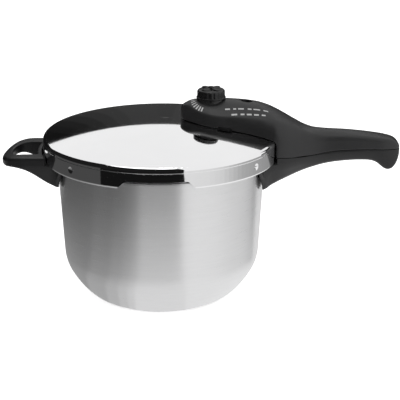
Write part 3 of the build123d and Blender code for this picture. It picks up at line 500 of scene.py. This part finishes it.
hole_out = curve(HOLE_PLAN + [(x, -y) for x, y in reversed(HOLE_PLAN[:-1])], 12) + [(x, y) for x, y in reversed(back)]
hole_f = Flat(hole_out, (-176, -48), (-90, 48), 0.4)
yz_f = Flat([(-39.5, 190), (-39.5, 150), (-27.0, 117), (27.0, 117), (39.5, 150), (39.5, 190)], (-50, 108), (50, 170), 0.4)


def helper(x, y, z):
    r = np.hypot(x, y)
    side = help_side(x, z)
    walls = both(help_plan(x, y), yz_f(y, z), 2.0)
    lip_d = np.maximum.reduce([lip_f(y, z), r - 114.4, 60 + x])
    walls = either(walls, lip_d, 6.0)
    d = both(walls, side, smooth(-x, [100, 112, 125, 170], [1.5, 2.2, 2.8, 2.8]))
    d = both(d, -hole_f(x, y), 1.8)
    d = both(d, -np.maximum(z * -1 + 150.6, r - 125.8), 0.6)
    return sockets(d, x, y, z, r, -120.0, -128.5, -84.5)


low_o.data.materials[0] = mats["shaded_pot_plastic"]
help_o = made("helper_moulding", helper, (-169.6, -49.2, 118), (-93, 49.2, 160.5), 0.75, "pot", "handle_plastic", "helper_handle")


help_o.data.materials[0] = mats["shaded_pot_plastic"]


def knob(x, y, z):
    u, v = x - KX, y
    r = np.hypot(u, v)
    a = np.arctan2(v, u)
    n = math.radians(20)
    af = np.abs((a + n / 2) % n - n / 2)
    flute = 1.95 - np.hypot(r * np.cos(af) - 16.1, r * np.sin(af))
    body_d = both(r - 14.7, z - 223.0, 2.6)
    body_d = both(body_d, flute, 0.35)
    flange = both(r - 15.5, z - 215.3, 0.45)
    d = either(body_d, flange, 0.3)
    q = math.radians(90)
    al = (a - q / 2 + q / 2) % q - q / 2
    lx, ly = r * np.cos(al) - 7.0, r * np.sin(al)
    lobe = np.hypot(np.maximum(np.abs(lx) - 2.05, 0), ly) - 3.2
    d = either(d, both(lobe, z - 224.5, 1.0), 0.7)
    d = either(d, both(r - 3.0, z - 226.1, 1.1), 0.5)
    d = both(d, 213.8 - z, 0.3)
    return np.maximum(d, -np.maximum(r - 8.05, z - 215.9))


made("knob_moulding", knob, (KX - 16, -16, 213.3), (KX + 16, 16, 226.7), 0.27, "knob", "knob_plastic", "pressure_knob")


# ------------------------------------------------------------------ pot, turned again with a smooth passage from wall to foot
def foot_r(z):
    u = max(0.0, (42.0 - z) / 42.0)
    return 70.5 + (104.1 - 70.5) * (1 - u ** 1.34) ** (1 / 1.34)


def wall_r(z):
    return foot_r(z) if z < 42 else 104.1 + (110.3 - 104.1) * (z - 42) / 108.0


zs = np.concatenate([np.linspace(3.0, 9.0, 26), np.linspace(9.4, 70, 70), np.linspace(74, 150, 14)])
fine = np.linspace(3.0, 150.0, 1471)
rr = np.array([wall_r(z) for z in fine])
outer = []
for z in zs:
    w = 9.0 * min(1.0, max(0.0, (z - 8.0) / 14.0)) * min(1.0, (150.0 - z) / 20.0)
    m = np.abs(fine - z) <= max(w, 0.06)
    outer.append((float(rr[m].mean()) if w > 0.2 else float(np.interp(z, fine, rr)), float(z)))
rim = [(110.55, 155.0), (110.9, 160.6), (111.3, 162.6), (112.3, 163.9), (113.4, 164.7), (114.6, 165.2), (115.05, 165.5), (115.08, 165.8),
       (114.6, 166.2), (113.2, 165.6), (112.0, 165.1), (110.9, 163.9), (110.2, 162.4), (109.9, 160.8), (109.6, 155.0)]
inner = [(r - (1.0 + 0.35 * max(0.0, min(1.0, (38.0 - z) / 34.0))), z + 0.55 * max(0.0, min(1.0, (40.0 - z) / 36.0))) for r, z in outer[::-1] if z > 5.4]
prof = [(0.0, 3.0), (35.0, 3.0), (66.0, 3.0)] + outer + rim + inner + [(inner[-1][0] - 5.0, 4.0), (35.0, 4.0), (0.0, 4.0)]
SEG = 256
pv, pf = [(0.0, 0.0, 3.0)], []
for r, z in prof[1:-1]:
    pv += [(r * math.cos(2 * math.pi * i / SEG), r * math.sin(2 * math.pi * i / SEG), z) for i in range(SEG)]
pv.append((0.0, 0.0, 4.0))
for i in range(SEG):
    j = (i + 1) % SEG
    pf.append((0, 1 + j, 1 + i))
    for k in range(len(prof) - 3):
        a = 1 + k * SEG
        pf.append((a + i, a + j, a + SEG + j, a + SEG + i))
    a = 1 + (len(prof) - 3) * SEG
    pf.append((a + i, a + j, len(pv) - 1))
me = bpy.data.meshes.new("pot_turned")
me.from_pydata([(x / 1000, y / 1000, z / 1000) for x, y, z in pv], [], pf)
me.shade_smooth()
pot_o = bpy.data.objects.new("pot_turned", me)
scene.collection.objects.link(pot_o)
me.materials.append(mats["satin_steel"])
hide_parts("pot_body")
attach(pot_o, "pot")


# ------------------------------------------------------------------ printed marks, laid on the cover
def surface_z(x, y):
    """Height of the cover's outside over a point."""
    lo_z, hi_z = 150.0, 216.0
    z = np.full(np.shape(x), 0.0) + zc(x) - kc(x) * y * y
    for _ in range(12):
        z = z - cover(x, y, z)
    return z


def marks(name, shapes, replaced):
    vs, fs = [], []
    for corners in shapes:
        c = np.array(corners)
        nu, nv = 9, 4
        base = len(vs)
        for top in (0.075, -0.03):
            for j in range(nv + 1):
                for i in range(nu + 1):
                    s, t = i / nu, j / nv
                    p = (1 - t) * ((1 - s) * c[0] + s * c[1]) + t * ((1 - s) * c[3] + s * c[2])
                    vs.append((p[0], p[1], top))
        w = nu + 1
        m = (nu + 1) * (nv + 1)
        for j in range(nv):
            for i in range(nu):
                q = base + j * w + i
                fs.append((q, q + 1, q + w + 1, q + w))
                fs.append((q + m, q + w + m, q + w + 1 + m, q + 1 + m))
        rim = [j * w for j in range(nv, -1, -1)] + list(range(1, nu + 1)) + [j * w + nu for j in range(1, nv + 1)] + [nv * w + i for i in range(nu - 1, 0, -1)]
        for a, b in zip(rim, rim[1:] + rim[:1]):
            fs.append((base + a, base + a + m, base + b + m, base + b))
    V = np.array(vs)
    V[:, 2] += surface_z(V[:, 0], V[:, 1])
    me = bpy.data.meshes.new(name)
    me.from_pydata((V / 1000.0).tolist(), [], fs)
    o = bpy.data.objects.new(name, me)
    scene.collection.objects.link(o)
    me.materials.append(mats["white_print"])
    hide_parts(replaced)
    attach(o, "lid")
    return o


ticks = []
for i in range(10):
    a = math.radians(165 + i * 8.4)
    r0, r1, h = 17.4, 20.0 + 0.5 * min(i, 5) - 0.5 * max(0, i - 6), math.radians(0.8 + 0.14 * i)
    ticks.append([(KX + r * math.cos(a + q), r * math.sin(a + q)) for r, q in ((r0, -h), (r1, -h), (r1, h), (r0, h))])
marks("tick_marks", ticks, "scale_marks")
dashes = []
for row, slope_y, items in ((-18.6, 0.075, [(70, 5), (77.5, 3), (84, 6), (93, 4), (100.5, 7), (110, 5)]),
                            (-24.3, 0.060, [(77, 6), (85.5, 4), (92.5, 5), (100, 5), (107.5, 4)])):
    for x, n in items:
        y, ca, sa = row + slope_y * (x - 70), math.cos(math.radians(4)), math.sin(math.radians(4))
        dashes.append([(x + p * ca - q * sa, y + p * sa + q * ca) for p, q in ((-n / 2, -.75), (n / 2, -.75), (n / 2, .75), (-n / 2, .75))])
marks("dash_marks", dashes, "line_marks")

# ------------------------------------------------------------------ stage
PITCH, DIST, TX, TZ = 18.8, 1.550, 0.0414, 0.1002


def staged(o):
    return o


def emit(name, value):
    m = bpy.data.materials.new(name)
    m.use_nodes = True
    t = m.node_tree
    t.nodes.clear()
    e = t.nodes.new("ShaderNodeEmission")
    e.inputs["Color"].default_value = (1, 1, 1, 1)
    e.inputs["Strength"].default_value = value
    t.links.new(e.outputs[0], t.nodes.new("ShaderNodeOutputMaterial").inputs[0])
    return m


def card(name, az0, az1, el0, el1, value, radius=2.4, centre=(0, 0, 0.17), glossy_only=True):
    """A curved reflection card. Azimuths from -Y (towards the camera), positive towards +X; elevations in degrees."""
    n, k = max(2, int(abs(az1 - az0) / 4)), 8
    vs, fs = [], []
    for j in range(k + 1):
        for i in range(n + 1):
            top = el1(i / n) if callable(el1) else el1
            e = math.radians(el0 + (top - el0) * j / k)
            a = math.radians(az0 + (az1 - az0) * i / n)
            vs.append((centre[0] + radius * math.cos(e) * math.sin(a), centre[1] - radius * math.cos(e) * math.cos(a), centre[2] + radius * math.sin(e)))
    for j in range(k):
        for i in range(n):
            a = j * (n + 1) + i
            fs.append((a, a + 1, a + n + 2, a + n + 1))
    me = bpy.data.meshes.new(name)
    me.from_pydata(vs, [], fs)
    o = bpy.data.objects.new(name, me)
    scene.collection.objects.link(o)
    me.materials.append(emit(name, value))
    o.visible_camera = False
    o.visible_shadow = False
    o.visible_diffuse = False
    o.visible_transmission = False
    return staged(o)


world = bpy.data.worlds.new("studio")
scene.world = world
world.use_nodes = True
world.node_tree.nodes["Background"].inputs["Color"].default_value = (1, 1, 1, 1)
world.node_tree.nodes["Background"].inputs["Strength"].default_value = 1.0

bpy.ops.mesh.primitive_plane_add(size=30, location=(0, 0, 0))
floor = bpy.context.object
floor.name = "floor"
fm = bpy.data.materials.new("floor")
fm.use_nodes = True
fb = fm.node_tree.nodes["Principled BSDF"]
fb.inputs["Base Color"].default_value = (0.9, 0.9, 0.9, 1)
fb.inputs["Roughness"].default_value = 0.9
fb.inputs["Specular IOR Level"].default_value = 0.0
fb.inputs["Emission Color"].default_value = (1, 1, 1, 1)
fb.inputs["Emission Strength"].default_value = 0.62
floor.data.materials.append(fm)
floor.visible_glossy = False
staged(floor)

def edge(lo, hi):
    """An edge of a card that tilts evenly from lo at its first azimuth to hi at its last."""
    return lambda s: lo + (hi - lo) * s


# behind: dark, its top edge higher on the right, its tone darker on the left
tones = [(118, 0.040), (172, 0.042), (176, 0.058), (181, 0.045), (184.5, 0.048), (188, 0.037), (192.5, 0.017), (197, 0.008), (242, 0.006)]
cuts = [118, 140, 160] + list(range(164, 206, 2)) + [214, 242]
for i, (a0, a1) in enumerate(zip(cuts, cuts[1:])):
    top = [25.5 - 6.0 * (q - 118) / 124 for q in (a0, a1)]
    card("card_back_%d" % i, a0, a1, -15, edge(*top), float(np.interp((a0 + a1) / 2, [q[0] for q in tones], [q[1] for q in tones])))
# in front, low: a black strip, greys beside it
card("card_front", -57, 22.5, -25, -13, 0.008, radius=2.2)
card("card_front_left", -134, -57, -25, -13, 0.070, radius=2.2)
stops = [(22.5, 0.84), (45, 0.82), (60, 0.74), (72, 0.60), (84, 0.46), (100, 0.40), (134, 0.30)]
for i in range(22):
    a0, a1 = 22.5 + i * 111.5 / 22, 22.5 + (i + 1) * 111.5 / 22
    card("card_front_right_%d" % i, a0, a1, -25, -13, float(np.interp((a0 + a1) / 2, [q[0] for q in stops], [q[1] for q in stops])), radius=2.2)
# in front, tall: what the body shows
for i, (e0, e1, tone) in enumerate([(-40, -25, 0.88), (-60, -40, 0.82), (-88, -60, 0.86)]):
    card("card_mid_%d" % i, -18, 20, e0, e1, tone, radius=1.1, centre=(0, 0, 0.12))
card("card_front_high", -134, 22.5, -13, 62, 0.012)
for j, (a0, a1, f) in enumerate([(-180, -150, 1.9), (-150, -126, 1.25), (-126, -70, 0.93), (-70, -50, 1.0), (-50, -34, 1.1), (-34, -18, 1.3)]):
    for i, (e0, e1, tone) in enumerate([(-34, -25, 0.20), (-44, -34, 0.27), (-56, -44, 0.37), (-70, -56, 0.47), (-88, -70, 0.55)]):
        card("card_left_%d_%d" % (j, i), a0, a1, e0, e1, min(0.9, tone * f), radius=0.8, centre=(0, 0, 0.10))
card("card_sky", -100, 22.5, 64, 89, 3.0)


def floor_card(name, az0, az1, r0, r1, value):
    """A piece of bright table, seen only in reflections."""
    n = max(2, int(abs(az1 - az0) / 3))
    vs = []
    for r in (r0, r1):
        for i in range(n + 1):
            a = math.radians(az0 + (az1 - az0) * i / n)
            vs.append((r * math.sin(a), -r * math.cos(a), 0.0012))
    me = bpy.data.meshes.new(name)
    me.from_pydata(vs, [], [(i, i + 1, i + n + 2, i + n + 1) for i in range(n)])
    o = bpy.data.objects.new(name, me)
    scene.collection.objects.link(o)
    me.materials.append(emit(name, value))
    o.visible_camera = False
    o.visible_shadow = False
    o.visible_diffuse = False
    o.visible_transmission = False
    staged(o)


near = [(0.46, 0.36), (0.36, 0.28), (0.28, 0.21), (0.21, 0.155), (0.155, 0.074)]
for j, (a0, a1, tones) in enumerate([(-180, -140, (0.50, 0.52, 0.55, 0.60, 0.62)), (-140, -70, (0.16, 0.21, 0.29, 0.36, 0.40)),
                                     (-70, -46, (0.17, 0.25, 0.35, 0.45, 0.50)), (-46, -34, (0.18, 0.30, 0.42, 0.54, 0.60)),
                                     (-34, -26, (0.22, 0.36, 0.50, 0.64, 0.70)), (-26, -20, (0.34, 0.46, 0.60, 0.74, 0.80)),
                                     (-20, 20, (0.70, 0.72, 0.80, 0.88, 0.92))]):
    for i, ((r1, r0), tone) in enumerate(zip(near, tones)):
        floor_card("table_%d_%d" % (j, i), a0, a1, r0, r1, tone)

cam = bpy.data.cameras.new("camera")
cam_o = bpy.data.objects.new("camera", cam)
scene.collection.objects.link(cam_o)
p = math.radians(PITCH)
cam_o.location = (TX, -DIST * math.cos(p), TZ + DIST * math.sin(p))
cam_o.rotation_euler = (math.radians(90 - PITCH), 0, 0)
cam.sensor_width = 36
cam.lens = 1442 / 400 * 36
cam.clip_start, cam.clip_end = 0.05, 60
scene.camera = cam_o
scene.view_settings.view_transform = "Standard"
